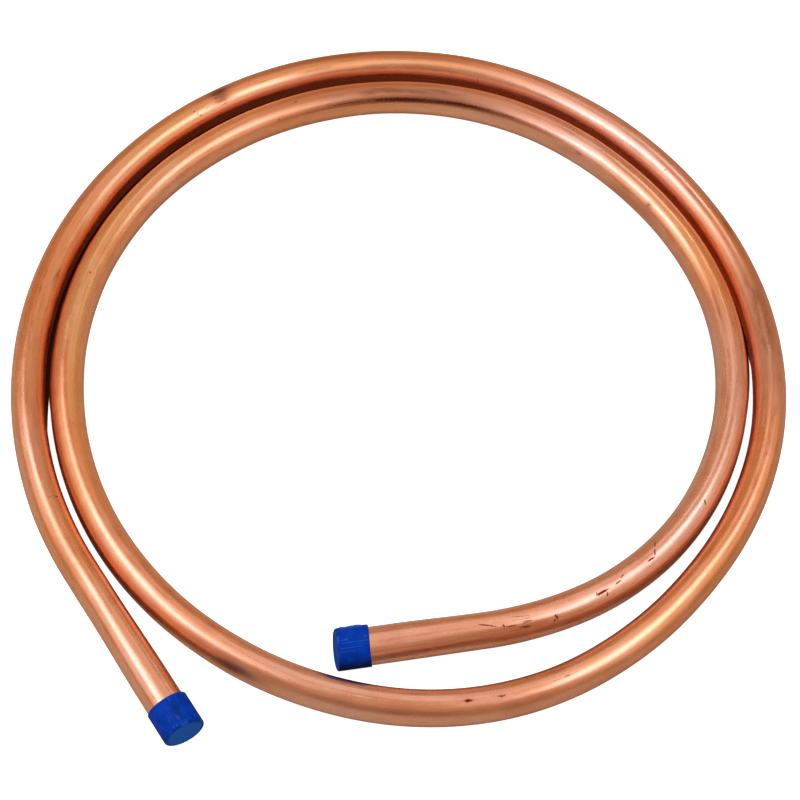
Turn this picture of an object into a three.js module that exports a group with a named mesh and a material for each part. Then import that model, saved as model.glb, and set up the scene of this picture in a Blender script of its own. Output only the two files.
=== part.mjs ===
// A loose coil of bare copper tube, lying flat, with a moulded plastic cap pushed on each end.
// Millimetres, +Z up. The coil lies on z = 0 around the origin; -Y is the side with both ends.
//
// The tube is made as the real one is: a straight hollow length is extruded first, and then bent.
// Its middle is bent into almost two turns, seen from above as a spiral that winds inwards clockwise.
// Both ends stay straight and round, because a bender or a coiling drum never reaches them.
import * as THREE from 'three';

// ---- The tube stock ----
const tubeDiameter = 22.225;
const tubeWall = 1.14;
const sectionSides = 24;

// Bending squeezes the round section: it gets narrower across the coil and taller by the same share.
const ovalShare = 0.064;
const roundEndLength = 32;
const ovalRunIn = 60;

// ---- The coil ----
// The outer turn's centreline strays from a circle, because the tube was coiled by hand. How far is
// given every 30 degrees, going clockwise; a smooth (uniform cubic B-spline) blend joins these values.
const coilRadius = 240;
const knotAngle = THREE.MathUtils.degToRad(30);
const bendStartAngle = THREE.MathUtils.degToRad(-131.6);
const outerTurnStray = [42, 19, -2, -10, -7, 2, 6, -5, -9, -6, 0, 21];

// Clear gaps between the inner turn and the outer one, from where the second turn begins.
const turnGaps = [9, 3.5, 3, 3, 7, 9.5, 8.5, 6, 1.5, 4.5, 5, 31, 22];

// The blend uses three more control values than it has 30 degree stretches.
const bendKnots = outerTurnStray.length + turnGaps.length - 3;

// The straight ends, up to the cuts, and the longest stretch that one straight facet may stand for.
const outerEndLength = 120;
const innerEndLength = 87;
const stepLength = 30;

// ---- The caps ----
const capLength = 19.5;
const capWall = 0.9;
const capEndWall = 1.5;
const capFit = 0.3;
const capEndRounding = 1.2;
const capRimRounding = 0.35;
const capSides = 32;

// ---- Sizes that follow ----
const tubeRadius = tubeDiameter / 2;
const bentWidth = tubeDiameter * (1 - ovalShare);
const bentHalfHeight = tubeRadius * (1 + ovalShare) * Math.cos(Math.PI / sectionSides);
const capBoreRadius = tubeRadius + capFit;
const capRadius = capBoreRadius + capWall;

const copper = new THREE.MeshStandardMaterial({ color: 0xb8714a, roughness: 0.3, metalness: 1 });
const bluePlastic = new THREE.MeshStandardMaterial({ color: 0x0a3caf, roughness: 0.45, metalness: 0 });

/** Each knot's radius: the outer turn's own, then one turn further in by the tube's width and the gap. */
function spiralRadii() {
  const knotsPerTurn = outerTurnStray.length;
  const radii = outerTurnStray.map((stray) => coilRadius + stray);
  turnGaps.forEach((gap, index) => {
    radii[knotsPerTurn + index] = radii[index] - bentWidth - gap;
  });
  return radii;
}

/** The bent stretch of the centreline, at one height, as a smooth radius that follows the angle. */
class SpiralBend extends THREE.Curve {
  constructor(radii, height) {
    super();
    this.radii = radii;
    this.height = height;
  }

  radiusAt(knot) {
    const first = Math.min(Math.floor(knot), bendKnots - 1);
    const q = knot - first;
    const [a, b, c, d] = this.radii.slice(first, first + 4);
    const early = (1 - q) ** 3 * a + (3 * q ** 3 - 6 * q ** 2 + 4) * b;
    const late = (-3 * q ** 3 + 3 * q ** 2 + 3 * q + 1) * c + q ** 3 * d;
    return (early + late) / 6;
  }

  getPoint(t, target = new THREE.Vector3()) {
    const knot = t * bendKnots;
    const angle = bendStartAngle - knot * knotAngle;
    const radius = this.radiusAt(knot);
    return target.set(radius * Math.cos(angle), radius * Math.sin(angle), this.height);
  }
}

/** The whole centreline in plan: straight outer end, spiral bend, straight inner end. */
function coilRoute() {
  const bend = new SpiralBend(spiralRadii(), 0);
  bend.arcLengthDivisions = 2000;
  const bendStart = bend.getPoint(0);
  const bendEnd = bend.getPoint(1);
  const outerEnd = bendStart.clone().addScaledVector(bend.getTangent(0), -outerEndLength);
  const innerEnd = bendEnd.clone().addScaledVector(bend.getTangent(1), innerEndLength);
  const route = new THREE.CurvePath();
  route.add(new THREE.LineCurve3(outerEnd, bendStart));
  route.add(bend);
  route.add(new THREE.LineCurve3(bendEnd, innerEnd));
  return route;
}

/** How far the section has gone from round (0, at the ends) to fully oval (1, in the bend). */
function bentShare(distance, length) {
  const fromEnd = Math.min(distance, length - distance);
  return THREE.MathUtils.smoothstep(fromEnd, roundEndLength, roundEndLength + ovalRunIn);
}

/** A regular ring of points with one flat side at the bottom. */
function ring(radius) {
  const points = [];
  for (let side = 0; side < sectionSides; side += 1) {
    const angle = -Math.PI / 2 + ((side + 0.5) * 2 * Math.PI) / sectionSides;
    points.push(new THREE.Vector2(radius * Math.cos(angle), radius * Math.sin(angle)));
  }
  return points;
}

/** The straight hollow stock, along +Z, with +Y of its section on top. */
function straightStock(length) {
  const section = new THREE.Shape(ring(tubeRadius));
  section.holes.push(new THREE.Path(ring(tubeRadius - tubeWall)));
  const steps = Math.ceil(length / stepLength);
  return new THREE.ExtrudeGeometry(section, { depth: length, steps, bevelEnabled: false });
}

/** Bends the stock along the route: each section turns to face along it and takes its oval shape. */
function bendStock(geometry, route) {
  const length = route.getLength();
  const position = geometry.getAttribute('position');
  for (let index = 0; index < position.count; index += 1) {
    const distance = position.getZ(index);
    const share = bentShare(distance, length);
    const t = Math.min(distance / length, 1);
    const centre = route.getPoint(t);
    const along = route.getTangent(t);
    const across = position.getX(index) * (1 - ovalShare * share);
    const height = THREE.MathUtils.lerp(capRadius, bentHalfHeight, share);
    const up = position.getY(index) * (1 + ovalShare * share);
    position.setXYZ(index, centre.x - along.y * across, centre.y + along.x * across, height + up);
  }
  geometry.computeVertexNormals();
  return geometry;
}

/** A cap as a turned cup: its axis is Y, its open rim at 0 and its closed end at capLength. */
function capGeometry() {
  const profile = new THREE.Path();
  const bottom = capLength - capEndWall;
  profile.moveTo(0, bottom);
  profile.lineTo(capBoreRadius, bottom);
  profile.lineTo(capBoreRadius, 0);
  profile.lineTo(capRadius - capRimRounding, 0);
  profile.absarc(capRadius - capRimRounding, capRimRounding, capRimRounding, -Math.PI / 2, 0, false);
  const shoulder = capRadius - capEndRounding;
  profile.absarc(shoulder, capLength - capEndRounding, capEndRounding, 0, Math.PI / 2, false);
  profile.lineTo(0, capLength);
  const points = profile.getPoints(3).filter((point, index, all) => {
    return index === 0 || point.distanceTo(all[index - 1]) > 1e-6;
  });
  return new THREE.LatheGeometry(points, capSides);
}

/** A cap pushed onto a tube end until its closed end stands just clear of the cut. */
function pushOnCap(name, tubeEnd, outward) {
  const cap = new THREE.Mesh(capGeometry(), bluePlastic.clone());
  const rimSetback = capLength - capEndWall - capFit;
  cap.name = name;
  cap.position.copy(tubeEnd).addScaledVector(outward, -rimSetback);
  cap.position.z = capRadius;
  cap.quaternion.setFromUnitVectors(new THREE.Vector3(0, 1, 0), outward);
  return cap;
}

const route = coilRoute();
const tube = new THREE.Mesh(bendStock(straightStock(route.getLength()), route), copper);
tube.name = 'copper_tube';

const coil = new THREE.Group();
coil.add(tube);
coil.add(pushOnCap('outer_end_cap', route.getPoint(0), route.getTangent(0).negate()));
coil.add(pushOnCap('inner_end_cap', route.getPoint(1), route.getTangent(1)));

// The origin goes to the middle of the coil's plan, on the floor under it.
const middle = new THREE.Box3().setFromObject(coil).getCenter(new THREE.Vector3());
coil.children.forEach((piece) => {
  piece.position.x -= middle.x;
  piece.position.y -= middle.y;
});

export default coil;
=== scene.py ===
# %% [markdown]
# # A loose coil of copper tube
# One length of soft copper tube, wound by hand into almost two turns that lie flat on the floor. A moulded
# plastic cap is pushed on each end, to keep dirt out of the bore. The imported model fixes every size, so this
# lesson only dresses it: a fine tube and two fine caps take the places of the plain solids, then each gets
# its finish, and last come the floor, the lights and the camera.

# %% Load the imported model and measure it
import math
from functools import reduce

import bpy
import numpy as np
from mathutils import Matrix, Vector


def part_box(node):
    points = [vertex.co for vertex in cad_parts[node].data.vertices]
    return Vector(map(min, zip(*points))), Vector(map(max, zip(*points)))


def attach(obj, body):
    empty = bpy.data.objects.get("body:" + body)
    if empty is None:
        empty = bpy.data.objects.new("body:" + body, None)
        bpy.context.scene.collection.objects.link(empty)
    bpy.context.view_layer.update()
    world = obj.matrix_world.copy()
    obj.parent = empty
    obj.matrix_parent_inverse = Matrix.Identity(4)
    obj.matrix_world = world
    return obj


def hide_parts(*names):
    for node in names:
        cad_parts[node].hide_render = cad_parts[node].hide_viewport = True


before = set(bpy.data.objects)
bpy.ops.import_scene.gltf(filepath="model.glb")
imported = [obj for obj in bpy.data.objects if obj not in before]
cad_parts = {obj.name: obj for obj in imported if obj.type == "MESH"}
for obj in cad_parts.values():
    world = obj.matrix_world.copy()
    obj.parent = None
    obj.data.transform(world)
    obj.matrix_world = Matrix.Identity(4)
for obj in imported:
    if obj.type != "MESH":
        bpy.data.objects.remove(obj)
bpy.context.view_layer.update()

# %% [markdown]
# ## The line that the tube follows
# A coil could be drawn as a curve object with a bevel, but then its oval section and its surface pattern
# would be hard to steer. Here the centreline is a function instead. Seen from above it is straight at the
# outer end, then a spiral whose radius changes smoothly with the angle, then straight again at the inner end.
# The radius is a uniform cubic B-spline through values given every 30 degrees, because a hand-wound coil is
# never a true circle.

# %% Sizes of the tube and its coil, in metres
MM = 0.001
TUBE_RADIUS = 11.1125 * MM
TUBE_WALL = 1.14 * MM
OVAL_SHARE = 0.064
ROUND_END_LENGTH = 32 * MM
OVAL_RUN_IN = 60 * MM
COIL_RADIUS = 240 * MM
KNOT_ANGLE = math.radians(30)
BEND_START_ANGLE = math.radians(-131.6)
OUTER_TURN_STRAY = np.array([42, 19, -2, -10, -7, 2, 6, -5, -9, -6, 0, 21]) * MM
TURN_GAPS = np.array([9, 3.5, 3, 3, 7, 9.5, 8.5, 6, 1.5, 4.5, 5, 31, 22]) * MM
OUTER_END_LENGTH = 120 * MM
INNER_END_LENGTH = 87 * MM
KNOTS_PER_TURN = len(OUTER_TURN_STRAY)
BEND_KNOTS = KNOTS_PER_TURN + len(TURN_GAPS) - 3
print(f"coil of {BEND_KNOTS / KNOTS_PER_TURN:.2f} turns, bent from tube of {2 * TUBE_RADIUS / MM:.3f} mm")


# %% The centreline as a table of points, close together
def knot_radii():
    """Outer turn: coil radius plus stray. Inner turn: the one outside it, less a tube's width and the gap."""
    radii = list(COIL_RADIUS + OUTER_TURN_STRAY)
    for knot, gap in enumerate(TURN_GAPS):
        radii.append(radii[knot] - 2 * TUBE_RADIUS * (1 - OVAL_SHARE) - gap)
    return np.array(radii)


def spiral_place(knot):
    """Angle = start - knot x 30 degrees. Radius = B-spline blend of four neighbouring knot radii."""
    first = np.minimum(knot.astype(int), BEND_KNOTS - 1)
    q = knot - first
    weights = ((1 - q) ** 3, 3 * q**3 - 6 * q**2 + 4, -3 * q**3 + 3 * q**2 + 3 * q + 1, q**3)
    radii = knot_radii()
    radius = sum(w * radii[first + step] for step, w in enumerate(weights)) / 6
    angle = BEND_START_ANGLE - knot * KNOT_ANGLE
    return np.stack([radius * np.cos(angle), radius * np.sin(angle)], -1)


def whole_route(bend_points=20001, end_points=400):
    """Straight outer end, spiral bend, straight inner end; the ends run on the way that the bend points."""
    bend = spiral_place(np.linspace(0, BEND_KNOTS, bend_points))
    start, end = bend[1] - bend[0], bend[-1] - bend[-2]
    start, end = start / np.hypot(*start), end / np.hypot(*end)
    out = bend[0] - start * np.linspace(OUTER_END_LENGTH, 0, end_points)[:-1, None]
    inn = bend[-1] + end * np.linspace(0, INNER_END_LENGTH, end_points)[1:, None]
    points = np.vstack([out, bend, inn])
    steps = np.hypot(*np.diff(points, axis=0).T)
    return np.r_[0, np.cumsum(steps)], points


route_distance, route_points = whole_route()
TUBE_LENGTH = route_distance[-1]
route_along = np.gradient(route_points, route_distance, axis=0)
print(f"tube length {TUBE_LENGTH:.4f} m")

# %% [markdown]
# ## Bending straight stock
# A real tube is drawn straight and bent afterwards, and its draw lines, stains and scratches bend with it.
# So every shape and pattern here is first worked out on the straight stock: x runs along it, y across to the
# outside of the coil, z up. One function then bends those points onto the coil and squeezes the section
# slightly oval, as bending does.

# %% From straight stock to the bent coil
CAP_FIT = 0.3 * MM
CAP_WALL = 0.9 * MM
CAP_BORE_RADIUS = TUBE_RADIUS + CAP_FIT
CAP_RADIUS = CAP_BORE_RADIUS + CAP_WALL
BENT_HALF_HEIGHT = TUBE_RADIUS * (1 + OVAL_SHARE)


def smoothstep(x, low, high):
    """0 below low, 1 above high, and 3t^2 - 2t^3 between them."""
    t = np.clip((x - low) / (high - low), 0, 1)
    return t * t * (3 - 2 * t)


def bent(stock, half_height=BENT_HALF_HEIGHT):
    """Place = centreline at x, plus y times the sideways direction, at the section's height plus z."""
    x, y, z = stock[..., 0], stock[..., 1], stock[..., 2]
    inside = np.clip(x, 0, TUBE_LENGTH)
    centre = np.stack([np.interp(inside, route_distance, route_points[:, k]) for k in (0, 1)], -1)
    along = np.stack([np.interp(inside, route_distance, route_along[:, k]) for k in (0, 1)], -1)
    along /= np.hypot(along[..., 0], along[..., 1])[..., None]
    centre = centre + along * (x - inside)[..., None]
    from_end = np.minimum(inside, TUBE_LENGTH - inside)
    share = smoothstep(from_end, ROUND_END_LENGTH, ROUND_END_LENGTH + OVAL_RUN_IN)
    across = y * (1 - OVAL_SHARE * share)
    height = CAP_RADIUS + (half_height - CAP_RADIUS) * share + z * (1 + OVAL_SHARE * share)
    plan = [centre[..., 0] - along[..., 1] * across, centre[..., 1] + along[..., 0] * across]
    return np.stack([*plan, height], -1)


print(f"bent section {2 * TUBE_RADIUS * (1 - OVAL_SHARE) / MM:.2f} x {2 * BENT_HALF_HEIGHT / MM:.2f} mm")

# %% [markdown]
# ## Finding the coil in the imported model
# The formulas above draw the coil round the middle of its spiral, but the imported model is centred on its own
# box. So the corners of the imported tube's facets are worked out the same way, and their box is laid on the
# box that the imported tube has. The difference is the shift that every piece below gets.

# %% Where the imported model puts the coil
def facet_corners(sides=24, step=30 * MM):
    """The corners of the plain solid's facets: a ring of them every 30 mm or less, with a flat side below."""
    x = np.linspace(0, TUBE_LENGTH, math.ceil(TUBE_LENGTH / step) + 1)
    angle = -math.pi / 2 + (np.arange(sides) + 0.5) * 2 * math.pi / sides
    ring = TUBE_RADIUS * np.stack([np.cos(angle), np.sin(angle)], -1)
    stock = np.empty((len(x), sides, 3))
    stock[..., 0] = x[:, None]
    stock[..., 1:] = ring
    return bent(stock, BENT_HALF_HEIGHT * math.cos(math.pi / sides))


corners = facet_corners().reshape(-1, 3)
solid_low, solid_high = (np.array(c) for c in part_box("copper_tube"))
shift = ((solid_low + solid_high) - (corners.min(0) + corners.max(0))) / 2
shift[2] = 0
route_points += shift[:2]
corners += shift
box_error = np.abs([corners.min(0) - solid_low, corners.max(0) - solid_high]).max()
print("plan shift mm", (shift / MM).round(3), "box differs by mm", (box_error / MM).round(4))

# %% [markdown]
# ## Grids of points become meshes
# Each surface is worked out as one array of points on a grid. One helper joins neighbours with four-sided
# faces, closes the grid where it meets itself, and closes a pole with a fan of triangles. It keeps each
# point's place on the straight stock, and other fields, as attributes of the mesh, which the finishes read.


# %% Objects, fields and volumes
def in_scene(name, data):
    """An object of that name, at the origin, that shows the data."""
    made = bpy.data.objects.new(name, data)
    bpy.context.scene.collection.objects.link(made)
    return made


def keep_field(mesh, name, values):
    """Keeps one or three numbers for each point of the mesh."""
    values = values.reshape(len(mesh.vertices), -1).astype(np.float32)
    kind, slot = ("FLOAT_VECTOR", "vector") if values.shape[1] == 3 else ("FLOAT", "value")
    mesh.attributes.new(name, kind, "POINT").data.foreach_set(slot, values.ravel())


def signed_volume(points, faces):
    """Sum over triangles of a . (b x c) / 6, which is positive when the faces look outwards."""
    total = 0.0
    for corner in range(1, faces.shape[1] - 1):
        a, b, c = points[faces[:, 0]], points[faces[:, corner]], points[faces[:, corner + 1]]
        total += np.einsum("ij,ij->i", a, np.cross(b, c)).sum() / 6
    return total


# %% From a grid of points to an object
def grid_piece(name, points, stock, fields, poles=False):
    """Point (row, column) joins (row, column + 1), (row + 1, column + 1) and (row + 1, column).

    The last row joins the first one or, with poles, a fan of triangles closes each of the two.
    """
    rows, columns = points.shape[:2]
    flat = points.reshape(-1, 3)
    joined_rows = rows - 1 if poles else rows
    row, column = np.meshgrid(np.arange(joined_rows), np.arange(columns), indexing="ij")
    after_row, after_column = (row + 1) % rows, (column + 1) % columns
    near, far = row * columns, after_row * columns
    quads = np.stack([near + column, near + after_column, far + after_column, far + column], -1)
    quads = quads.reshape(-1, 4)
    fans = np.empty((0, 3), int)
    if poles:
        start, end = len(flat), len(flat) + 1
        flat = np.vstack([flat, points[0].mean(0), points[-1].mean(0)])
        ring = np.arange(columns)
        after = (ring + 1) % columns
        last = (rows - 1) * columns
        fans = np.vstack([
            np.stack([np.full(columns, start), after, ring], -1),
            np.stack([np.full(columns, end), ring + last, after + last], -1),
        ])
    volume = signed_volume(flat, quads) + signed_volume(flat, fans)
    if volume < 0:
        quads, fans = quads[:, ::-1], fans[:, ::-1]
    mesh = bpy.data.meshes.new(name)
    mesh.from_pydata(flat.tolist(), [], quads.tolist() + fans.tolist())
    for key, values in {"stock": stock, **fields}.items():
        values = values.reshape(rows * columns, -1)
        if poles:
            values = np.vstack([values, values[:columns].mean(0), values[-columns:].mean(0)])
        keep_field(mesh, key, values)
    mesh.shade_smooth()
    mesh.validate()
    print(f"{name}: {2 * len(quads) + len(fans)} triangles, {abs(volume) * 1e6:.2f} cm3")
    return in_scene(name, mesh)


# %% [markdown]
# ## The tube
# The stock is a closed shell: out along the outer skin, round the cut rim, back through the bore and round
# the other rim. Carried round the axis, that closed path gives a skin with no open edge. Handling a soft tube
# leaves it slightly wavy, which breaks up its long highlights. Those waves are far too shallow for a
# modifier to find, so they are added to the radius before bending.


# %% The shape of the stock
WAVE_SLOPE = 0.0002  # the height of a wave as a share of its length


def shell_path(edge=0.25 * MM, outer_rows=1260, bore_rows=120):
    """Distance along and radius of the closed path: outer skin, rounded rim, bore, rounded rim."""
    outer = np.linspace(edge, TUBE_LENGTH - edge, outer_rows)
    bore = np.linspace(TUBE_LENGTH - edge, edge, bore_rows)
    turn = np.linspace(0, math.pi / 2, 4)[1:-1]
    inner_radius = TUBE_RADIUS - TUBE_WALL
    early, late = edge * (1 - np.sin(turn)), edge * (1 - np.cos(turn))
    far_x = TUBE_LENGTH - np.r_[early, 0, 0, late]
    far_r = np.r_[TUBE_RADIUS - late, TUBE_RADIUS - edge, inner_radius + edge, inner_radius + early]
    x = np.r_[outer, far_x, bore, (TUBE_LENGTH - far_x)[::-1]]
    radius = np.r_[np.full(len(outer), TUBE_RADIUS), far_r, np.full(len(bore), inner_radius), far_r[::-1]]
    return x, radius


def handling_waves(x, angle, seed=4, count=26):
    """Sum of cosines in distance and angle with random phase; whole numbers of lobes keep the ring closed."""
    draw = np.random.default_rng(seed)
    total = np.zeros(np.broadcast(x, angle).shape)
    for _ in range(count):
        length = draw.uniform(35, 160) * MM
        lobes = draw.integers(1, 4)
        phase = draw.uniform(0, 2 * math.pi, 2)
        size = WAVE_SLOPE * length
        total += size * np.cos(2 * math.pi * x / length + phase[0]) * np.cos(lobes * angle + phase[1])
    from_end = np.minimum(x, TUBE_LENGTH - x)
    return total * smoothstep(from_end, 22 * MM, 60 * MM)


print("closed path of the stock:", len(shell_path()[0]), "points")

# %% [markdown]
# ## Where the tube is stained, and where light is painted on it
# Broad stains are smooth, so they can be stored as one number per point of the mesh, like a weight painting.
# Each is a soft hump in distance and angle. Angle 0 is the outside of the coil, 90 the top, 180 the inside.
# Some humps are painted light: a sheen on golden stretches, shade over highlights, a cap's reflection.

# %% The list of stains and painted light
# Distance in mm, angle in degrees, half length in mm, half angle, and strength.
ALL_ROUND = 999  # a half angle so large that a stain goes round the whole tube
WARM_STAINS = [(at, 90, length, ALL_ROUND, strength) for at, length, strength in (
    (150, 110, 0.60), (340, 110, 1.0), (500, 80, 0.80), (610, 110, 0.25), (10, 60, 0.40), (930, 70, 0.10),
    (1000, 110, 0.50), (1185, 90, 1.0), (1265, 60, 0.65), (1345, 70, 0.35), (1600, 60, 0.60),
    (1725, 110, 1.0), (1880, 110, 0.60), (2040, 80, 0.95), (2120, 70, 0.45), (2320, 50, 0.20),
    (2620, 80, 0.10), (2740, 80, 0.30),
)]
WARM_STAINS += [(2390, 95, 60, 90, 1.0), (640, 75, 100, 45, 0.9), (2240, 60, 60, 25, 0.20)]
# Golden tint; the same humps also brighten the metal, a painted sheen beside the highlights.
GOLDEN_TINT_AND_SHEEN = (
    (480, 100, 90, 26, 0.6), (590, 117, 60, 14, 1.0), (660, 120, 60, 10, 0.7), (1760, 120, 140, 18, 0.9),
    (1850, 76, 70, 20, 0.6), (1290, 75, 60, 15, 0.4), (1960, 84, 80, 24, 0.5), (2380, 100, 60, 26, 0.6),
    (330, 110, 60, 16, 0.4),
)
# Brown film; but the humps at 570 and 612 mm are painted shade that dims a highlight, and the one at 1469 mm
# is a painted reflection of the inner cap.
BROWN_STAINS_AND_SHADE = (
    (340, 127, 9, 9, 1.0), (335, 119, 5, 5, 0.7), (533, 118, 9, 12, 0.9), (535, 96, 8, 18, 1.0),
    (534, 78, 10, 16, 1.0), (1012, 90, 60, 45, 0.7), (1040, 118, 60, 20, 0.55), (1532, 21, 22, 20, 0.95),
    (1469, 136, 20, 15, 1.0), (665, 104, 60, 15, 0.6), (700, 98, 24, 9, 0.5), (630, 78, 90, 20, 0.7),
    (612, 122, 32, 14, 0.8), (570, 113, 34, 6, 0.8), (1040, 92, 55, 24, 0.7), (944, 70, 12, 14, 0.9),
    (600, 150, 60, 12, 0.35), (2130, 112, 80, 26, 0.9), (2100, 78, 60, 14, 0.45), (2426, 116, 30, 9, 0.95),
    (2405, 98, 65, 8, 0.7), (2331, 138, 3, 14, 0.8), (1000, 128, 40, 12, 0.45), (1290, 40, 90, 20, 0.3),
    (1690, 120, 110, 40, 0.4), (2500, 92, 70, 10, 0.5), (1210, 104, 40, 12, 0.3), (420, 60, 70, 16, 0.4),
    (2520, 178, 70, 22, 0.35), (300, 104, 70, 12, 0.45), (250, 114, 60, 14, 0.45), (1460, 60, 90, 22, 0.25),
    (2060, 100, 40, 30, 0.4), (200, 96, 40, 10, 0.4), (400, 92, 60, 12, 0.3), (850, 62, 60, 9, 0.3),
    (2790, 62, 30, 10, 0.35), (2680, 132, 60, 14, 0.3), (760, 161, 330, 9, 0.6), (300, 153, 150, 7, 0.4),
    (1715, 42, 190, 9, 0.8), (2640, 33, 170, 12, 0.8), (2790, 27, 50, 10, 1.0), (2190, 58, 330, 8, 0.5),
    (1180, 158, 120, 9, 0.5),
)
# Dark stains; the hump at 1469 mm is a painted reflection of the inner cap in the turn beside it.
DARK_STAINS_AND_REFLECTION = (
    (2142, 143.5, 60, 8, 1.0), (2110, 151, 70, 3.5, 0.6), (2190, 145, 40, 4, 0.7), (1032, 192, 5, 16, 0.8),
    (2264, 151, 3, 3, 0.6), (2140, 118, 60, 20, 0.3), (2331, 140, 2, 8, 0.3), (1469, 134, 20, 12, 0.95),
    (534, 84, 6, 16, 0.55),
)
print("stains:", [len(table) for table in (WARM_STAINS, GOLDEN_TINT_AND_SHEEN, BROWN_STAINS_AND_SHADE, DARK_STAINS_AND_REFLECTION)])


# %% Stains and painted light as fields on the tube
def turned(angle, at):
    """The angle in radians from a place given in degrees, the short way round."""
    return np.angle(np.exp(1j * (angle - math.radians(at))))


def stain_field(x, angle, stains):
    """Union of humps: 1 - product of (1 - strength x exp(-(dx / length)^2 - (turn / width)^2))."""
    clean = np.ones(np.broadcast(x, angle).shape)
    for at, turn, half_length, half_angle, strength in stains:
        away = np.degrees(turned(angle, turn))
        hump = np.exp(-((x - at * MM) / (half_length * MM)) ** 2 - (away / half_angle) ** 2)
        clean *= 1 - strength * hump
    return 1 - clean


def scattered_stains(count, seed):
    """Faint stains drawn at random, for the sides of the tube that no list covers."""
    draw = np.random.default_rng(seed)
    low, high = (20, -150, 6, 6, 0.15), (2810, 30, 45, 26, 0.5)
    return [tuple(draw.uniform(low, high)) for _ in range(count)]


FIRST_RING = 0.03
HARD_ROLLED = (1.54, 1.93)  # metres along the tube, where the rollers left their clearest rings


def straightener_rings(x, seed=11):
    """Sum of narrow humps across the tube, light or dark at random, from the rollers that straightened it."""
    draw = np.random.default_rng(seed)
    total = np.zeros(x.shape)
    at = FIRST_RING
    while at < TUBE_LENGTH:
        strong = 1.0 if HARD_ROLLED[0] < at < HARD_ROLLED[1] else 0.35
        sign = draw.choice((-1.0, 1.0), p=(0.4, 0.6))
        total += sign * strong * np.exp(-((x - at) / draw.uniform(1.5 * MM, 5 * MM)) ** 2)
        at += draw.uniform(9 * MM, 34 * MM)
    return total


# %% [markdown]
# ## Scratches and specks
# A scratch is thinner than one face of the mesh, so it can't be painted on its points. But a point can keep
# where it lies from the nearest scratch, counted along it in half lengths and across it in half widths. Those
# two numbers change evenly over a face, so they stay exact in between the points, and a shader that reads
# them draws a sharp ellipse. A third number is 0 near the scratch and large elsewhere, which hides the seams
# where the nearest scratch changes. Scratches that lie close together go into different layers.
# Listed bright strokes along the highlights are painted glints.

# %% The list of marks
STROKES = (  # from distance mm and angle, to distance mm and angle, width mm, strength
    (166, 131, 167, 112, 0.7, 0.8), (167, 112, 166.5, 88, 0.5, 0.45), (511, 128, 512, 117, 0.5, 0.6),
    (726, 171, 726, 143, 0.45, 0.6), (900, 99, 900.5, 95, 0.5, 0.5), (509, 109, 511, 107, 0.6, 0.8),
    (512, 132, 514, 131, 0.6, 0.8), (518, 120, 522, 119, 0.4, 0.6), (529, 103, 530.5, 101, 0.8, 0.75),
    (535, 81, 536, 78, 0.7, 0.7), (532, 134, 536, 133, 0.5, 0.7), (2049, 99, 2051, 98, 0.9, 0.7),
    (2033, 144, 2035, 143, 0.7, 0.7), (320, 86, 329, 85.5, 0.6, 0.6), (332, 85.5, 343, 85.5, 0.5, 0.55),
    (347, 85.5, 354, 85.3, 0.5, 0.4), (617, 105, 640, 109, 0.35, 0.45), (645, 111, 690, 110, 0.35, 0.4),
    (650, 104, 705, 101, 0.35, 0.35), (1337, 80, 1340, 80, 0.8, 0.7), (1344, 79.5, 1347, 79.5, 0.6, 0.5),
    (1377, 79, 1381, 79, 1.1, 0.85), (1396, 79, 1400, 78.5, 1.7, 1.0), (1840, 102, 1840.5, 100, 0.9, 0.8),
    (2100, 102, 2128, 101, 0.35, 0.5), (2134, 101, 2160, 102, 0.35, 0.45), (2236, 102, 2262, 101, 0.4, 0.6),
    (2266, 100.5, 2300, 100, 0.4, 0.5), (2330, 149, 2332, 128, 0.5, 0.5), (2334, 98, 2392, 96.5, 0.35, 0.4),
    (2400, 96, 2459, 97, 0.35, 0.35), (2583.5, 75, 2585.5, 64, 1.1, 0.9), (2627, 116, 2632, 97, 0.6, 0.9),
    (2632, 97, 2636, 74, 0.7, 1.0), (2636, 74, 2642, 78, 0.9, 1.0), (2659, 88, 2662, 83, 0.7, 0.9),
    (2663, 76, 2667, 73, 0.8, 0.9), (2672, 72, 2681, 69, 1.3, 1.0), (2674, 62, 2675, 54, 0.8, 0.9),
    (2680, 79, 2681, 66, 0.6, 0.8), (2708.5, 59, 2707.5, 46, 1.3, 0.95), (2709, 46, 2710, 42, 1.0, 0.9),
    (2741, 62, 2755.5, 84.5, 0.6, 0.95), (2739, 57, 2739.6, 69, 0.9, 1.0), (2730, 59, 2739.5, 60.5, 0.6, 0.9),
    (2721, 64, 2730, 60, 0.5, 0.75), (2721, 63, 2729, 67.5, 0.5, 0.7), (2723, 47, 2730.5, 50, 1.1, 0.85),
    (2721, 78, 2736, 90, 0.4, 0.6), (2722, 71, 2729, 74, 0.35, 0.5), (1032, 200, 1033, 168, 1.2, 0.6),
    (2314, 197, 2315, 189, 0.5, 0.5), (2269, 191, 2270, 186, 0.6, 0.5), (2069, 145, 2104, 144, 0.7, 0.8),
    (2098, 142.5, 2150, 143.5, 1.9, 1.0), (2146, 143, 2196, 141.5, 1.6, 1.0),
    (2110, 150, 2176, 148.5, 0.7, 0.75), (2196, 141, 2216, 139.5, 0.6, 0.7),
    # Below zero is bright: these along the highlights' lines are painted glints.
    (222, 80.5, 271, 79.2, 0.5, -0.9), (1032, 98, 1060, 98, 0.5, -0.8), (1092, 118, 1112, 117.5, 0.5, -0.75),
    (1432, 76.5, 1492, 75, 0.45, -0.8), (1022, 93.5, 1025, 92.5, 0.7, -1.0),
    (1041, 91.5, 1053, 90, 0.5, -0.9), (1642, 75, 1715, 76.5, 0.4, -0.6), (1715, 76.5, 1770, 80, 0.45, -0.8),
    (1776, 81, 1830, 87, 0.4, -0.6), (1836, 89.5, 1892, 93, 0.35, -0.45),
)
print("listed marks:", len(STROKES))


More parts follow.
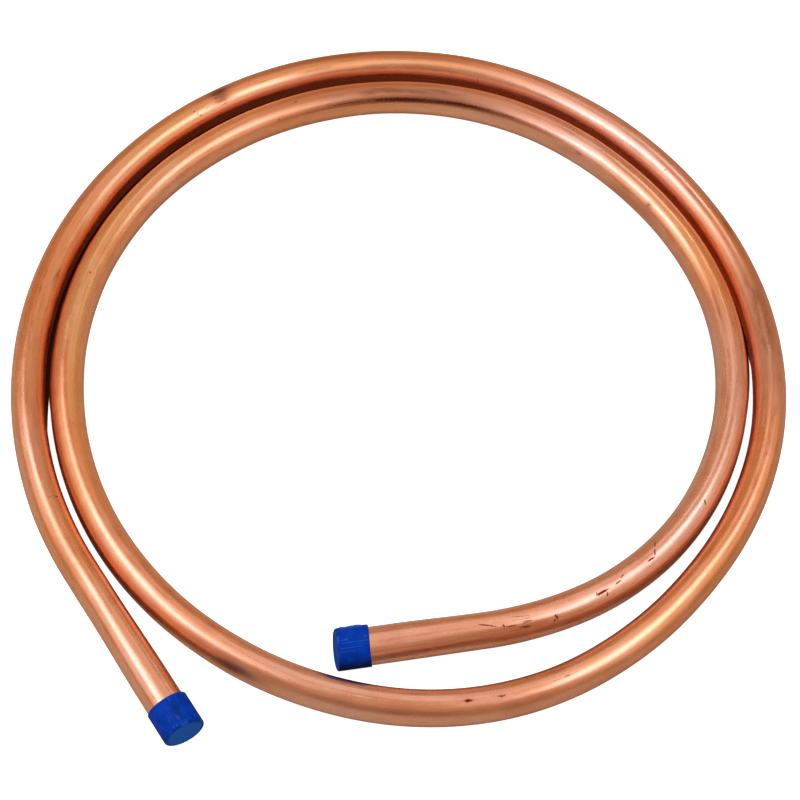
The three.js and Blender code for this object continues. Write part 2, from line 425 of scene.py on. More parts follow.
# %% Marks as places on the tube
def scattered_strokes(count, seed):
    """Fine scratches, mostly along the tube, and specks; below zero is a bright scratch."""
    draw = np.random.default_rng(seed)
    strokes = []
    for _ in range(count):
        at, turn = draw.uniform(25, 2805), draw.uniform(-150, 210)
        if draw.random() < 0.55:
            length, lean = draw.uniform(8, 45), draw.normal(0, 2.5)
            width, strength = draw.uniform(0.2, 0.4), draw.choice((-0.4, -0.25, 0.3, 0.45))
        elif draw.random() < 0.5:
            length, lean = draw.uniform(0.5, 2.5), draw.normal(0, 3)
            width, strength = draw.uniform(0.4, 0.9), draw.uniform(0.3, 0.7)
        else:
            length, lean = draw.uniform(0.2, 1.2), draw.uniform(-25, 25)
            width, strength = draw.uniform(0.3, 0.5), draw.choice((-0.35, 0.3, 0.5))
        strokes.append((at, turn, at + length, turn + lean, width, strength))
    return strokes


MARK_LAYERS = 6
SOFT_EDGE = 0.85  # half the width of a stroke with its soft edge, as a share of its width
STROKE_REACH = 4 * MM  # past this distance a point counts as far from a stroke
STROKES_APART = 9.5 * MM  # in one layer: twice that reach, and a face of the mesh more
FAR = 1000


def clear_gap(one, other):
    """The larger of the clear distances, along and around, between the boxes round two strokes."""
    clear = []
    for k, unit in ((0, MM), (1, math.radians(1) * TUBE_RADIUS)):
        first, second = sorted(one[k:4:2]), sorted(other[k:4:2])
        clear.append((max(first[0], second[0]) - min(first[1], second[1])) * unit)
    return max(clear)


def stroke_layers(strokes, most):
    """Each stroke goes into the first layer where it is clear of the rest; without room it is left out."""
    layers = [[] for _ in range(most)]
    for stroke in strokes:
        for layer in layers:
            if all(clear_gap(stroke, other) > STROKES_APART for other in layer):
                layer.append(stroke)
                break
    return layers


def stroke_places(x, angle, strokes):
    """From the nearest stroke: along / half length, across / half width, 0 near or FAR; and its strength."""
    nearest = np.full(x.shape, np.inf)
    place, strength = np.zeros(x.shape + (3,)), np.zeros(x.shape)
    for s0, a0, s1, a1, width, share in strokes:
        run = np.array([(s1 - s0) * MM, math.radians(a1 - a0) * TUBE_RADIUS])
        half, soft_width = np.hypot(*run) / 2, SOFT_EDGE * width * MM
        run = run / (2 * half)
        dx = x - (s0 + s1) / 2 * MM
        dy = turned(angle, (a0 + a1) / 2) * TUBE_RADIUS
        along, across = dx * run[0] + dy * run[1], dy * run[0] - dx * run[1]
        away = np.hypot(np.maximum(np.abs(along) - half, 0), across)
        closer = away < nearest
        nearest[closer] = away[closer]
        far = np.where(away > STROKE_REACH, FAR, 0)
        here = np.stack([along / (half + soft_width), across / soft_width, far], -1)
        place[closer] = here[closer]
        strength[closer] = share
    return place, strength


layers = stroke_layers(list(STROKES) + scattered_strokes(150, seed=8), MARK_LAYERS)
print("marks in each layer:", [len(layer) for layer in layers])


# %% The tube itself
def tube_piece(sides=64):
    """Place on the stock = (distance, radius cos angle, radius sin angle), then bent onto the coil."""
    x, radius = shell_path()
    angle = -math.pi / 2 + np.arange(sides) * 2 * math.pi / sides
    x, angle = np.meshgrid(x, angle, indexing="ij")
    radius = radius[:, None] + handling_waves(x, angle)
    stock = np.stack([x, radius * np.cos(angle), radius * np.sin(angle)], -1)
    fields = {
        "brown": stain_field(x, angle, list(BROWN_STAINS_AND_SHADE) + scattered_stains(26, seed=5)),
        "dark": stain_field(x, angle, DARK_STAINS_AND_REFLECTION),
        "warm": stain_field(x, angle, WARM_STAINS),
        "golden": stain_field(x, angle, GOLDEN_TINT_AND_SHEEN),
        "rings": straightener_rings(x),
    }
    for k, layer in enumerate(layers):
        fields[f"mark_place_{k}"], fields[f"mark_strength_{k}"] = stroke_places(x, angle, layer)
    points = bent(stock)
    points[..., 2] = np.maximum(points[..., 2], 0)  # no wave dips under the floor
    return grid_piece("drawn_copper_tube", points, stock, fields)


tube = tube_piece()
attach(tube, "root")
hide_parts("copper_tube")

# %% [markdown]
# ## The caps
# Each cap is a soft polyethylene cup from a mould, made to be pushed on once and thrown away, so it is far
# from perfect: the rim isn't quite square, thin lines show where the mould's parts met, and the side has sunk
# a little where the plastic shrank. A turned cup alone would look like a plain can. So the same turned
# profile is carried round on a fine grid, and each point of its outer skin is moved in or out by a relief: a
# sum of long narrow humps, given by their angle, width, stretch along the cap and height.

# %% The cap's profile
CAP_LENGTH = 19.5 * MM
CAP_END_WALL = 1.5 * MM
CAP_END_ROUNDING = 1.2 * MM
CAP_RIM_ROUNDING = 0.4 * MM


def cap_profile(pole=0.5 * MM):
    """Distance from the rim, radius, and 1 on the outer skin: end, side, rim, bore, floor, pole to pole."""
    turn = np.linspace(0, math.pi / 2, 9)[1:]
    shoulder, bottom = CAP_RADIUS - CAP_END_ROUNDING, CAP_LENGTH - CAP_END_WALL
    side = np.linspace(CAP_LENGTH - CAP_END_ROUNDING, CAP_RIM_ROUNDING, 61)[1:]
    skin_x = np.r_[np.full(16, CAP_LENGTH), CAP_LENGTH - CAP_END_ROUNDING * (1 - np.cos(turn)),
                   side, CAP_RIM_ROUNDING * (1 - np.sin(turn))]
    skin_r = np.r_[np.linspace(pole, shoulder, 16), shoulder + CAP_END_ROUNDING * np.sin(turn),
                   np.full(len(side), CAP_RADIUS), CAP_RADIUS - CAP_RIM_ROUNDING * (1 - np.cos(turn))]
    bore_x = np.r_[np.linspace(0, bottom, 14), np.full(8, bottom)]
    bore_r = np.r_[np.full(14, CAP_BORE_RADIUS), np.linspace(CAP_BORE_RADIUS, pole, 9)[1:]]
    skin = np.r_[np.ones(len(skin_x)), np.zeros(len(bore_x))]
    return np.r_[skin_x, bore_x], np.r_[skin_r, bore_r], skin


print("cap profile:", len(cap_profile()[0]), "points, outer radius", round(CAP_RADIUS / MM, 3), "mm")

# %% What the mould and the hand leave on each cap
OUTER_CAP_RELIEF = (  # angle, half width in degrees, from and to in mm from the rim, height mm
    (93, 17, 3.0, 16.5, -0.22), (90, 6, 7.0, 14.0, -0.09), (109, 2.0, 1.5, 17.0, 0.16),
    (71, 2.0, 3.0, 17.5, 0.12), (132, 1.5, 1.0, 6.0, -0.16), (140, 2.0, 3.0, 5.0, 0.20),
    (146, 2.5, 6.5, 9.0, -0.20), (138, 2.0, 9.5, 11.0, 0.18), (144, 2.0, 12.0, 15.0, -0.18),
    (131, 1.6, 15.0, 17.0, 0.22), (62, 3.0, 17.2, 18.4, 0.12), (72, 2.5, 17.4, 18.6, 0.12),
    (84, 3.5, 17.3, 18.5, 0.10), (98, 2.5, 17.3, 18.4, 0.14), (-60, 2.0, 1.5, 17.0, 0.14),
    (-95, 8, 4.0, 15.0, -0.15), (200, 2.0, 1.0, 16.0, 0.10),
)
INNER_CAP_RELIEF = (
    (78, 1.4, 1.0, 17.0, 0.17), (74.5, 1.4, 1.5, 17.0, -0.08), (64, 1.4, 5.0, 18.0, 0.17),
    (60.5, 1.3, 5.0, 18.0, -0.09), (54, 1.3, 9.0, 18.2, 0.15), (69, 1.2, 2.0, 7.0, 0.10),
    (148, 15, 4.0, 16.0, 0.40), (150, 4, 6.0, 7.6, 0.25), (147, 4, 9.0, 10.0, 0.20),
    (151, 4, 12.0, 14.0, -0.20), (150, 5, 15.2, 18.0, 0.16), (-70, 2.0, 1.5, 17.0, 0.14),
    (-120, 9, 4.0, 15.0, -0.15), (210, 2.0, 1.0, 16.0, 0.10),
)
# All in mm. "rim": how far the rim is pushed back all round, how much further in one dent, and the dent's
# angle. "end": how far the closed end tilts, and at which angle most. "off": how far the outer skin sits off
# the tube's middle, and which way.
OUTER_CAP_STRAY = {"rim": (-0.3, 1.0, 75), "end": (1.3, 165), "off": (0.4, 165)}
INNER_CAP_STRAY = {"rim": (-1.0, 1.6, 47), "end": (-1.25, 135), "off": (0.4, 135)}
print("humps on the caps:", len(OUTER_CAP_RELIEF), "and", len(INNER_CAP_RELIEF))


# %% The caps themselves
def cap_relief(x, angle, humps, fade=0.8):
    """Sum of height x exp(-(turn / width)^2) x a window that opens and closes over the fade, in mm."""
    total = np.zeros(x.shape)
    for at, width, low, high, height in humps:
        turn = np.degrees(turned(angle, at))
        opened = smoothstep(x, (low - fade) * MM, low * MM)
        closed = smoothstep(x, high * MM, (high + fade) * MM)
        total += height * MM * np.exp(-(turn / width) ** 2) * opened * (1 - closed)
    return total


def rim_stray(angle, even, dent, at):
    """even + dent x (cosine of the angle from its place, never below 0) ^ 1.5."""
    return (even + dent * np.maximum(np.cos(angle - math.radians(at)), 0) ** 1.5) * MM


def end_tilt(out, angle, most, at):
    """A tilted plane: most at one side, half on the axis, 0 at the far side; out is radius / cap radius."""
    return most / 2 * MM * (1 + out * np.cos(angle - math.radians(at)))


def cap_piece(name, at_start, humps, stray, lit_end_share, underside_shade, sides=320):
    """Place = (distance from the rim, radius cos angle, radius sin angle), then moved onto the tube's end."""
    x, r, skin = cap_profile()
    angle = np.arange(sides) * 2 * math.pi / sides
    x, angle = np.meshgrid(x, angle, indexing="ij")
    skin = skin[:, None]
    relief = cap_relief(x, angle, humps) * skin
    radius = r[:, None] + relief
    share, out = x / CAP_LENGTH, radius / CAP_RADIUS
    place = x + rim_stray(angle, *stray["rim"]) * (1 - share)
    place = place + end_tilt(out, angle, *stray["end"]) * share * skin
    mould = np.stack([x, radius * np.cos(angle), radius * np.sin(angle)], -1)
    setback = CAP_LENGTH - CAP_END_WALL - CAP_FIT
    stock = mould.copy()
    stock[..., 0] = setback - place if at_start else TUBE_LENGTH - setback + place
    off, towards = stray["off"]
    stock[..., 1] += off * MM * math.cos(math.radians(towards)) * skin
    stock[..., 2] += off * MM * math.sin(math.radians(towards)) * skin
    # Painted shade on the lower side, as much as the cap is given.
    below = smoothstep(-mould[..., 2] / CAP_RADIUS, -0.6, 0.3)
    fields = {
        "relief": relief / MM,
        # The end face is painted paler, as if lit, by this share.
        "lit_end_share": np.full(x.shape, lit_end_share),
        "underside_shade": underside_shade * below * smoothstep(CAP_LENGTH - x, 0.0, 1.0 * MM),
    }
    return grid_piece(name, bent(stock), mould, fields, poles=True)


# The outer cap's end is painted fully paler as if lit, the inner one's partly; only the inner cap gets painted
# shade below.
outer_cap = cap_piece("outer_cap_moulding", True, OUTER_CAP_RELIEF, OUTER_CAP_STRAY, lit_end_share=1.0, underside_shade=0.0)
inner_cap = cap_piece("inner_cap_moulding", False, INNER_CAP_RELIEF, INNER_CAP_STRAY, lit_end_share=0.35, underside_shade=1.0)
for cap, node in ((outer_cap, "outer_end_cap"), (inner_cap, "inner_end_cap")):
    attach(cap, "root")
    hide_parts(node)

# %% [markdown]
# ## Writing shader maths as Python
# A finish is a chain of small sums on noise and distance. Placing each node by hand hides the idea, so a
# small class wraps a socket: adding, multiplying or comparing wrapped sockets adds the Math node for it.


# %% Numbers that become Math nodes
def operator(operation, number_first=False):
    """A method that adds a Math node for self and other, in that order unless the number comes first."""
    def method(self, other):
        pair = (other, self) if number_first else (self, other)
        return self.finish.node("ShaderNodeMath", dict(enumerate(pair)), operation=operation)
    return method


class Value:
    """A number or colour that varies over a surface, as an output socket in a node tree."""

    __add__, __radd__ = operator("ADD"), operator("ADD", number_first=True)
    __sub__, __rsub__ = operator("SUBTRACT"), operator("SUBTRACT", number_first=True)
    __mul__, __rmul__ = operator("MULTIPLY"), operator("MULTIPLY", number_first=True)
    lowest, highest = operator("MINIMUM"), operator("MAXIMUM")

    def __init__(self, finish, socket):
        self.finish, self.socket = finish, socket

    def rise(self, low, high):
        """Smooth step from 0 at low to 1 at high; low may be above high, which makes it fall."""
        if low > high:
            return 1 - self.rise(high, low)
        inputs = {"Value": self, "From Min": low, "From Max": high}
        return self.finish.node("ShaderNodeMapRange", inputs, interpolation_type="SMOOTHSTEP")


# %% A material or a world under construction
class Finish:
    """A node tree, with one method that makes any node and short ones for those used most."""

    def __init__(self, name, kind="Material"):
        self.kind = kind
        self.block = {"Material": bpy.data.materials, "World": bpy.data.worlds}[kind].new(name)
        self.block.use_nodes = True
        self.nodes, self.links = self.block.node_tree.nodes, self.block.node_tree.links
        self.nodes.clear()

    def node(self, kind, inputs=None, output=0, **settings):
        """Makes a node, sets its settings, then gives its sockets values or links, and wraps an output."""
        made = self.nodes.new(kind)
        for key, value in settings.items():
            setattr(made, key, value)
        for key, value in (inputs or {}).items():
            socket = made.inputs[key]
            if isinstance(value, Value):
                self.links.new(value.socket, socket)
            else:
                socket.default_value = value
        return Value(self, made.outputs[output]) if len(made.outputs) else None

    def noise(self, place, scale, detail, roughness):
        """Smooth random numbers about 0.5, with as many waves to the metre as the scale says."""
        inputs = {"Vector": place, "Scale": scale, "Detail": detail, "Roughness": roughness}
        return self.node("ShaderNodeTexNoise", inputs)

    def stretched(self, place, along):
        """The same place with its x scaled, so that a pattern is drawn out along the stock."""
        return self.node("ShaderNodeMapping", {"Vector": place, "Scale": (along, 1.0, 1.0)})

    def vector(self, operation, *places, output=0, **inputs):
        """Vector maths, for places and colours."""
        inputs.update(enumerate(places))
        return self.node("ShaderNodeVectorMath", inputs, output, operation=operation)

    def mixed(self, share, low, high):
        """Colour mix: low where share is 0, high where it is 1."""
        return self.node("ShaderNodeMix", {0: share, 6: low, 7: high}, output=2, data_type="RGBA")

    def coloured(self, kind, colour, **inputs):
        """A shader of that kind in one colour."""
        return self.node("ShaderNode" + kind, {"Color": (*colour, 1), **inputs})

    def blended(self, share, low, high):
        """Shader mix: low where share is 0, high where it is 1."""
        return self.node("ShaderNodeMixShader", {0: share, 1: low, 2: high})

    def close(self, shader):
        """Sends the shader to the output and gives back the finished material or world."""
        self.node("ShaderNodeOutput" + self.kind, {"Surface": shader})
        print(self.block.name, "has", len(self.nodes), "nodes")
        return self.block

    def close_solid(self, height, **inputs):
        """One Principled shader, with a bump from the height in metres."""
        bump = self.node("ShaderNodeBump", {"Strength": 1.0, "Distance": 1.0, "Height": height})
        inputs = {name.replace("_", " "): value for name, value in inputs.items()}
        return self.close(self.node("ShaderNodeBsdfPrincipled", {**inputs, "Normal": bump}))


# %% [markdown]
# ## Copper
# Soft copper tube leaves the works bright and pink. Air turns it orange, thin oxide gives some stretches a
# golden tint, gloves and floors leave a brown film, and every knock leaves a scratch. It could be painted by
# hand, but then a second coil would need all that work again. So it is one metal whose colour and roughness
# follow a few fields. Some of that colour is painted light: golden stretches are brightened as a sheen, some
# brown and dark humps are painted shade and a cap's reflection, and listed bright marks are painted glints.
# Its noise is read on the straight stock and squeezed along it, which makes the draw lines run with the metal
# round every bend.

# %% The copper finish
def read_field(finish, name, output=2):
    """A number kept on the mesh's points; output 1 reads three numbers as a place."""
    return finish.node("ShaderNodeAttribute", output=output, attribute_name=name)


def drawn_marks(finish, ragged):
    """Strength x (1 inside the ellipse, 0 at its edge) in each layer: the highest, and minus the lowest."""
    marks = []
    for k in range(MARK_LAYERS):
        out = finish.vector("LENGTH", read_field(finish, f"mark_place_{k}", 1), output=1)
        out = out + (ragged - 0.5) * RAGGED_EDGE
        marks.append(out.rise(1.0, 0.4) * read_field(finish, f"mark_strength_{k}"))
    dark, bright = reduce(Value.highest, marks), reduce(Value.lowest, marks) * -1.0
    return dark.highest(0.0), bright.highest(0.0) * ragged.rise(0.45, 0.56)


FIELDS = ("brown", "dark", "warm", "golden", "rings")
RAGGED_EDGE = 1.5
# The film colours also colour painted shade, the near black also paints a cap's reflection, and the bright
# scratch colour also paints glints.
PINK_COPPER, ORANGE_COPPER = (0.98, 0.675, 0.585, 1), (0.98, 0.505, 0.275, 1)
GOLDEN_COPPER, STAIN_AND_REFLECTION_BLACK = (1.0, 0.60, 0.30, 1), (0.10, 0.05, 0.06, 1)
THIN_FILM_AND_SHADE, THICK_FILM_AND_SHADE = (0.50, 0.26, 0.135, 1), (0.30, 0.12, 0.05, 1)
DARK_SCRATCH, BRIGHT_SCRATCH_AND_GLINT = (0.17, 0.035, 0.010, 1), (1.0, 0.66, 0.46, 1)


def copper_finish():
    """One metal, pink to orange, golden and brown, marks on top; some is painted sheen, shade, reflection,
    glints.
    """
    finish = Finish("drawn_copper")
    stock = read_field(finish, "stock", 1)
    brown, dark, warm, golden, rings = (read_field(finish, name) for name in FIELDS)
    ragged = finish.noise(stock, 800.0, 2.0, 0.6)
    dark_marks, bright_marks_and_glints = drawn_marks(finish, ragged)

    drawn, smeared = finish.stretched(stock, 0.02), finish.stretched(stock, 0.3)
    lines = finish.noise(drawn, 900.0, 3.0, 0.6)
    streaks = finish.noise(drawn, 330.0, 2.0, 0.5)
    bands = finish.noise(drawn, 130.0, 2.0, 0.5)
    cloud = finish.noise(smeared, 45.0, 4.0, 0.6)
    mottle = finish.noise(smeared, 210.0, 4.0, 0.65)
    patches = finish.noise(stock, 12.0, 3.0, 0.55)

    warmth = (warm + (patches - 0.5) * 1.3 + (cloud - 0.5) * 0.7 + 0.08).highest(0.0).lowest(1.0)
    colour = finish.mixed(warmth, PINK_COPPER, ORANGE_COPPER)
    golden = (golden * (0.4 + 1.2 * cloud)).lowest(1.0)
    colour = finish.mixed(golden, colour, GOLDEN_COPPER)
    # Brown humps: film, and in places painted shade that dims a highlight, or a cap's painted reflection.
    tarnish_and_shade = (brown * (0.35 + 1.3 * mottle)).lowest(1.0)
    haze = cloud.rise(0.48, 0.72) * 0.36
    cover = tarnish_and_shade.highest(haze)
    film_and_shade = finish.mixed(tarnish_and_shade.rise(0.55, 1.0), THIN_FILM_AND_SHADE, THICK_FILM_AND_SHADE)
    colour = finish.mixed(cover * 0.82, colour, film_and_shade)

    light = 1.03 + rings * 0.07 + (bands - 0.5) * 0.35 + (streaks - 0.5) * 0.22 + (lines - 0.5) * 0.3
    # Golden humps also brighten the metal here: a painted sheen beside the highlights.
    light = light + (mottle - 0.5) * 0.5 + golden * 0.3
    colour = finish.vector("SCALE", colour, Scale=light)
    # Dark humps: stains, and at one place a painted reflection of the inner cap.
    colour = finish.mixed((dark * (0.5 + 1.0 * mottle)).lowest(1.0) * 0.9, colour, STAIN_AND_REFLECTION_BLACK)
    colour = finish.mixed(dark_marks, colour, DARK_SCRATCH)
    # Bright marks: scratches, and the listed ones along the highlights are painted glints.
    colour = finish.mixed(bright_marks_and_glints, colour, BRIGHT_SCRATCH_AND_GLINT)

    rough = 0.25 + (lines - 0.5) * 0.16 + (mottle - 0.5) * 0.22
    rough = rough + cover * 0.14 + tarnish_and_shade * 0.1 + dark_marks * 0.25
    height = (lines - 0.5) * (0.022 * MM) + (streaks - 0.5) * (0.026 * MM) + (mottle - 0.5) * (0.03 * MM)
    return finish.close_solid(height, Base_Color=colour, Metallic=1.0 - bright_marks_and_glints * 0.6, Roughness=rough)


tube.data.materials.append(copper_finish())

# %% [markdown]
# ## Blue plastic
# The caps are dyed right through, so their colour hardly changes. What shows the form is partly wear and
# partly painted light: sunk places are painted darker as shade, proud lines are worn pale, fine scuffs run
# along the side, the rounded edge of each closed end has a painted highlight, the matt end faces are painted
# paler as if lit, most on the outer cap, and the inner cap's lower side is painted darker as shade.
# A glossy finish would look like glass, so the plastic mirrors very little.

# %% The plastic's colours
def linear(red, green, blue):
    """A screen colour of 0 to 255 as the linear colour that shaders use, by the sRGB formula."""
    share = np.array([red, green, blue]) / 255
    value = np.where(share <= 0.04045, share / 12.92, ((share + 0.055) / 1.055) ** 2.4)
    return (*(float(v) for v in value), 1.0)


# The sunk colour is painted shade, the paler end colour stands for light on the end face, and the edge colour
# is a painted highlight.
DEEP_BLUE, CLEAR_BLUE, SUNK_SHADE_BLUE = linear(0, 49, 146), linear(0, 59, 166), linear(6, 44, 92)
PROUD_BLUE, LIT_END_BLUE = linear(30, 94, 200), linear(42, 114, 206)
EDGE_HIGHLIGHT_BLUE, SCUFF_BLUE = linear(40, 96, 190), linear(60, 110, 190)
print("deep blue as linear light", np.round(DEEP_BLUE, 3))


# %% The plastic finish
def plastic_finish():
    """A dyed plastic: pale where proud or scuffed; painted shade where sunk and below, painted light on the
    end.
    """
    finish = Finish("moulded_blue_plastic")
    mould, relief = read_field(finish, "stock", 1), read_field(finish, "relief")
    grain = finish.noise(mould, 900.0, 3.0, 0.6)
    cloud = finish.noise(mould, 160.0, 3.0, 0.6)
    scuffs = finish.noise(finish.stretched(mould, 0.25), 700.0, 3.0, 0.6)
    colour = finish.mixed(cloud.rise(0.35, 0.65), DEEP_BLUE, CLEAR_BLUE)
    # Painted shade: sunk places darker.
    colour = finish.mixed(relief.rise(-0.04, -0.4) * 0.85, colour, SUNK_SHADE_BLUE)
    colour = finish.mixed(relief.rise(0.03, 0.2) * 0.7, colour, PROUD_BLUE)

    from_rim = finish.node("ShaderNodeSeparateXYZ", {"Vector": mould})
    from_axis = finish.vector("LENGTH", finish.vector("MULTIPLY", mould, (0.0, 1.0, 1.0)), output=1)
    end_face = from_rim.rise(CAP_LENGTH - 0.5 * MM, CAP_LENGTH - 0.1 * MM)
    end_face = end_face * from_axis.rise(0.97 * CAP_RADIUS, 0.75 * CAP_RADIUS)
    # Painted light: the closed end face paler, by a share given for each cap.
    colour = finish.mixed(end_face * read_field(finish, "lit_end_share") * 0.75, colour, LIT_END_BLUE)
    # Painted highlight along the rounded edge of the closed end.
    edge = from_rim.rise(CAP_LENGTH - 1.3 * MM, CAP_LENGTH - 0.7 * MM) * (1 - end_face)
    colour = finish.mixed(edge * cloud.rise(0.45, 0.6) * 0.7, colour, EDGE_HIGHLIGHT_BLUE)
    colour = finish.mixed(scuffs.rise(0.62, 0.72) * 0.3, colour, SCUFF_BLUE)
    # Painted shade: darker on the lower side where a cap is given it.
    light = (1.0 + (grain - 0.5) * 0.25) * (1.0 - 0.9 * read_field(finish, "underside_shade"))
    colour = finish.vector("SCALE", colour, Scale=light)

    rough = 0.5 + (grain - 0.5) * 0.2 + end_face * 0.4
    height = grain * (0.02 * MM) + scuffs * (0.03 * MM)
    return finish.close_solid(height, Base_Color=colour, Roughness=rough, Specular_IOR_Level=0.06)


plastic = plastic_finish()
for cap in (outer_cap, inner_cap):
    cap.data.materials.append(plastic)

# %% [markdown]
# ## The floor
# The coil lies on a plain white floor. Polished metal shows mostly what is around it, and a white room would
# wash its rich colour out. So the floor looks white to the camera, but it is a warm mid tone in whatever the
# copper mirrors. Where two turns lie almost side by side, hardly any light reaches the floor between them.
# Two dark strips on the floor stand for that shade. They part in a long narrow V where the turns draw apart.

# %% The floor
FLOOR_REACH = 6.0


def flat_sheet(name, left, right, height, material):
    """A strip of flat faces between two lines of equally many points in plan, all at one height."""
    left, right = np.asarray(left, float), np.asarray(right, float)
    count = len(left)
    points = np.zeros((2 * count, 3))
    points[:count, :2], points[count:, :2], points[:, 2] = left, right, height
    first = np.arange(count - 1)
    faces = np.stack([first, first + 1, first + 1 + count, first + count], -1)
    mesh = bpy.data.meshes.new(name)
    mesh.from_pydata(points.tolist(), [], faces.tolist())
    mesh.materials.append(material)
    return in_scene(name, mesh)


def sweep_finish():
    """White to the camera, and a warm mid tone in what the copper mirrors."""
    finish = Finish("white_sweep")
    camera_ray = finish.node("ShaderNodeLightPath")
    mirrored = finish.coloured("BsdfDiffuse", (0.47, 0.31, 0.20))
    lit = finish.coloured("BsdfDiffuse", (0.6, 0.65, 0.75))
    glow = finish.coloured("Emission", (1, 1, 1), Strength=0.93)
    white = finish.node("ShaderNodeAddShader", {0: lit, 1: glow})
    return finish.close(finish.blended(camera_ray, mirrored, white))


near_side, far_side = ([(-FLOOR_REACH, y), (FLOOR_REACH, y)] for y in (-FLOOR_REACH, FLOOR_REACH))
floor = flat_sheet("studio_floor", near_side, far_side, 0.0, sweep_finish())
print("floor", 2 * FLOOR_REACH, "m wide")

# %% The shade between the turns
SHEET_HEIGHT = 0.02 * MM
# Along the strips, places are counted in knots of 30 degrees. Across, 0 is the middle of the outer turn and 1
# the middle of the inner one.
SHADE_KNOTS = (0.35, 8.0)
WHOLE_SHADE = (1.011, 7.343)
SHADE_EDGES = (0.12, 0.88)
SHADE_MIDDLE = (0.51, 0.335)  # where the strips meet, at knots 1 and 7
SHADE_PARTING = 0.39  # how far each strip draws back from that line, for each knot past the whole shade
REDDER_KNOTS = (3.0, 6.8)


def shade_finish():
    """Almost black brown to the camera; what the turns mirror is a faint glow, redder where "red" is 1."""
    finish = Finish("gap_shade")
    camera_ray = finish.node("ShaderNodeLightPath")
    brown = finish.coloured("Emission", (0.06, 0.018, 0.008), Strength=1.0)
    red = finish.coloured("Emission", (0.17, 0.030, 0.007), Strength=1.0)
    shade = finish.coloured("BsdfDiffuse", (0.11, 0.028, 0.010))
    glow = finish.blended(read_field(finish, "red"), brown, red)
    return finish.close(finish.blended(camera_ray, glow, shade))


def turn_line(knots, share):
    """A line between the outer turn (share 0) and the turn inside it (share 1), as points in plan."""
    outer, inner = (spiral_place(knots + turn * KNOTS_PER_TURN) for turn in (0, 1))
    return outer + (inner - outer) * np.broadcast_to(share, knots.shape)[:, None] + shift[:2]


def gap_shade():
    """Two strips that meet on a line between the turns, and part from it in a long V where the shade ends."""
    knots = np.linspace(*SHADE_KNOTS, 260)
    beyond = np.maximum(WHOLE_SHADE[0] - knots, 0) + np.maximum(knots - WHOLE_SHADE[1], 0)
    middle = np.interp(knots, [1, 7], SHADE_MIDDLE)
    low, high = SHADE_EDGES
    red = np.tile(smoothstep(knots, *REDDER_KNOTS), 2)
    material = shade_finish()
    for name, left, right in (
        ("gap_shade_outer", low, np.maximum(middle - SHADE_PARTING * beyond, low)),
        ("gap_shade_inner", np.minimum(middle + SHADE_PARTING * beyond, high), high),
    ):
        strip = flat_sheet(name, turn_line(knots, left), turn_line(knots, right), SHEET_HEIGHT, material)
        keep_field(strip.data, "red", red)
        print(name, "has", len(strip.data.polygons), "faces")


gap_shade()

# %% [markdown]
# ## The lights
# A round tube gathers each light into one long line, so the lights decide where the highlights run. Two long
# soft boxes hang left and right, with a larger and dimmer screen behind each for a soft edge. One screen
# overhead and one beyond the coil lift its top, and two small lamps at the back touch the far turns. The fill
# isn't mirrored at all: it lights only what is matt, such as the caps.

# %% The lights
def placed(x_axis, y_axis, z_axis, origin):
    """The matrix whose columns are the three axes and the origin."""
    matrix = np.eye(4)
    matrix[:3] = np.stack([x_axis, y_axis, z_axis, origin], -1)
    return Matrix(matrix.tolist())


def soft_box(name, at, towards, size, radiance, colour=(1.0, 1.0, 1.0)):
    """A rectangle that shines evenly: its power = radiance x pi x area."""
    light = bpy.data.lights.new(name, "AREA")
    light.shape = "RECTANGLE"
    light.size, light.size_y = size
    light.color = colour
    light.energy = radiance * math.pi * size[0] * size[1]
    lamp = in_scene(name, light)
    back = np.subtract(at, towards)
    back = back / np.linalg.norm(back)
    right = np.cross((0.0, 0.0, 1.0) if abs(back[2]) < 0.99 else (0.0, 1.0, 0.0), back)
    right /= np.linalg.norm(right)
    lamp.matrix_world = placed(right, np.cross(back, right), back, at)
    lamp.visible_camera = False
    return lamp


DAYLIGHT = (0.97, 1.0, 1.25)
soft_box("left_soft_box", (-0.78, -0.12, 0.94), (0.0, -0.12, 0.0), (1.15, 0.42), 1.2, DAYLIGHT)
soft_box("right_soft_box", (0.75, -0.07, 1.0), (0.0, -0.1, 0.0), (1.15, 0.42), 1.1, DAYLIGHT)
soft_box("left_screen", (-0.80, -0.20, 0.80), (0.0, -0.1, 0.0), (1.3, 1.35), 0.40)
soft_box("right_screen", (0.80, -0.10, 0.80), (0.0, -0.1, 0.0), (1.3, 1.35), 0.26)
soft_box("overhead_screen", (0.03, 0.10, 0.62), (0.03, 0.10, 0.0), (0.50, 0.42), 0.26)
soft_box("far_screen", (0.03, 0.68, 0.90), (0.03, 0.68, 0.0), (0.50, 0.40), 0.20)
back_lamp = soft_box("back_lamp", (0.19, 0.385, 0.40), (0.24, -0.05, 0.0), (0.10, 0.08), 0.7)
back_lamp.data.spread = math.radians(100)
soft_box("back_left_lamp", (-0.29, 0.41, 0.40), (-0.15, 0.1, 0.0), (0.16, 0.12), 0.4)
fill = soft_box("overhead_fill", (-0.6, -0.1, 1.4), (0.0, 0.0, 0.0), (1.8, 1.8), 1.3)
fill.visible_glossy = False
print("lights:", len(bpy.data.lights), "with", round(sum(light.energy for light in bpy.data.lights), 2), "W")

# %% [markdown]
# ## The room
# Metal mirrors what is around it, so the room gives the copper half of its colour. One even world would tint
# the caps as well. So this one answers each kind of ray apart: warm and uneven in what the copper mirrors,
# neutral as the light on matt things, and white to the camera.


# %% The room
def lobe(finish, direction, centre, sharpness):
    """exp(sharpness x (cosine of the angle to the centre - 1)): 1 at the centre, fading smoothly."""
    centre = np.array(centre) / np.linalg.norm(centre)
    cosine = finish.vector("DOT_PRODUCT", direction, tuple(centre), output=1)
    return finish.node("ShaderNodeMath", {0: (cosine - 1.0) * sharpness}, operation="EXPONENT")


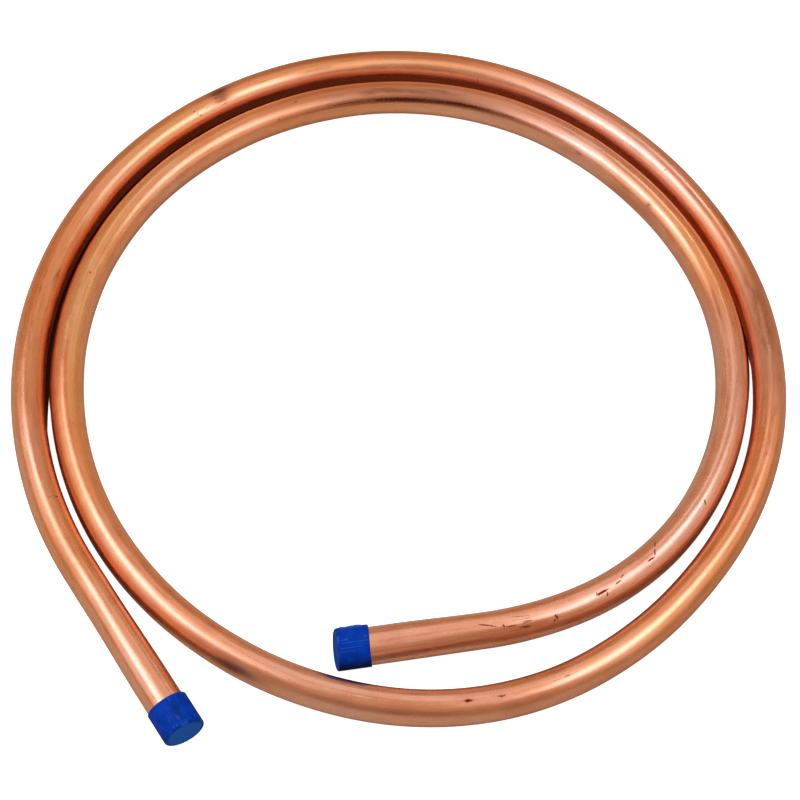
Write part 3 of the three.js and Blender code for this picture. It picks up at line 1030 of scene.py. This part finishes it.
def studio_world():
    """Warm in what the copper mirrors, neutral as the light on matt things, and white to the camera."""
    finish = Finish("studio_room", "World")
    direction = finish.node("ShaderNodeTexCoord")
    strength = 0.88 + 0.14 * lobe(finish, direction, (0.0, -0.15, 1.0), 6.0)
    strength = strength - 0.38 * lobe(finish, direction, (0.14, -0.98, 0.14), 6.0)
    strength = strength - 0.08 * lobe(finish, direction, (0.0, 0.98, 0.1), 6.0)
    room = finish.coloured("Background", (0.572, 0.298, 0.160), Strength=strength)
    soft = 0.28 + 0.65 * lobe(finish, direction, (-0.1, -1.0, 0.1), 3.0)
    neutral = finish.coloured("Background", (0.8, 0.9, 1.0), Strength=soft)
    seen = finish.coloured("Background", (1, 1, 1), Strength=1.2)
    camera_ray = finish.node("ShaderNodeLightPath")
    matt_ray = finish.node("ShaderNodeLightPath", output=2)
    return finish.close(finish.blended(camera_ray, finish.blended(matt_ray, room, neutral), seen))


bpy.context.scene.world = studio_world()

# %% [markdown]
# ## The camera
# The camera looks down steeply through a long lens, from far enough away that the coil keeps its true shape,
# and it is rolled a little to one side. It is given by angles, a distance and the point it looks at, so each
# of them can be changed without upsetting the others.

# %% The camera
CAMERA_DOWN = math.radians(54.8356)
CAMERA_ROLL = math.radians(-7.3866)
CAMERA_LENS, CAMERA_SENSOR = 90.465, 36.0
CAMERA_DISTANCE = 1257.24 * MM
CAMERA_TARGET = np.array([0.097, -44.664, 11.7]) * MM


def studio_camera():
    """Looks along +Y and down; the picture's right and lower side are turned by the roll about that line."""
    forward = np.array([0.0, math.cos(CAMERA_DOWN), -math.sin(CAMERA_DOWN)])
    level = np.array([1.0, 0.0, 0.0])
    below = np.cross(forward, level)
    right = math.cos(CAMERA_ROLL) * level + math.sin(CAMERA_ROLL) * below
    under = -math.sin(CAMERA_ROLL) * level + math.cos(CAMERA_ROLL) * below
    data = bpy.data.cameras.new("studio_camera")
    data.lens, data.sensor_width = CAMERA_LENS, CAMERA_SENSOR
    data.dof.use_dof = False
    data.clip_start, data.clip_end = 0.05, 50
    camera = in_scene("studio_camera", data)
    place = CAMERA_TARGET + shift - forward * CAMERA_DISTANCE
    camera.matrix_world = placed(right, -under, -forward, place)
    bpy.context.scene.camera = camera
    print(f"lens {data.lens:.2f} mm at", place.round(4))


studio_camera()
bpy.context.scene.view_settings.view_transform = "Standard"
